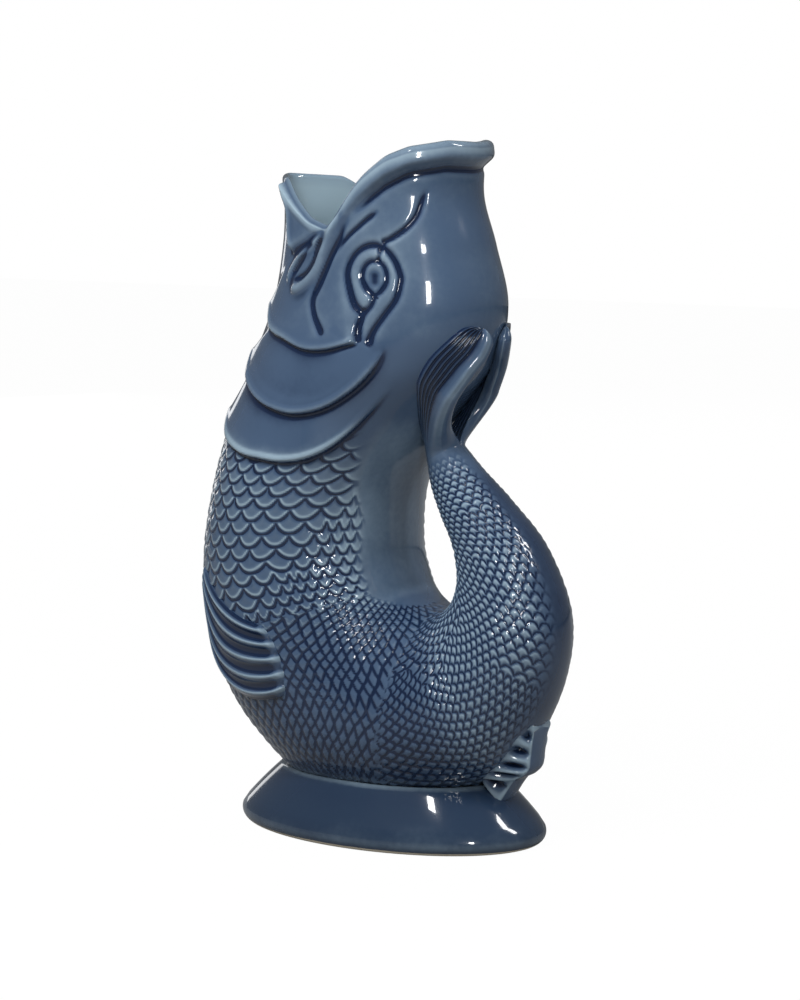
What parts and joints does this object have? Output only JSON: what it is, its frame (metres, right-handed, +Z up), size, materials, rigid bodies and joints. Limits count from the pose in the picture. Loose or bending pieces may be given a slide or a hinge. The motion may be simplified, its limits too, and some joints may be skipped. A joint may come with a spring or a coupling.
{
  "type": "gurgle jug",
  "caption": "Glazed ceramic jug in the shape of an upright fish with an open mouth to pour from and a hollow curled tail as the handle, on an oval foot.",
  "frame": {"origin": "on the surface the jug stands on, under the middle of its bounding box", "axes": "+Z up, +X towards the tail handle, +Y to the fish's right side"},
  "size_m": [0.1585, 0.0992, 0.2682],
  "materials": {
    "scaled_glaze": "gloss",
    "head_glaze": "gloss",
    "sprig_glaze": "gloss",
    "foot_glaze": "gloss"
  },
  "bodies": {
    "root": {"foot": "foot_glaze", "head_shell": "head_glaze", "chest_shell": "scaled_glaze", "belly_shell": "scaled_glaze", "bend_shell": "scaled_glaze", "tail_shell": "scaled_glaze", "upper_lip": "sprig_glaze", "jaw_fold_left": "sprig_glaze", "jaw_fold_right": "sprig_glaze", "cheek_plate_left": "sprig_glaze", "cheek_plate_right": "sprig_glaze", "gill_cover_left": "sprig_glaze", "gill_cover_right": "sprig_glaze", "collar_plate_left": "sprig_glaze", "collar_plate_right": "sprig_glaze", "eye_left": "sprig_glaze", "eye_right": "sprig_glaze", "pectoral_fin_left": "sprig_glaze", "pectoral_fin_right": "sprig_glaze", "rear_fin": "sprig_glaze", "tail_lobe_left": "sprig_glaze", "tail_lobe_right": "sprig_glaze"}
  },
  "joints": []
}
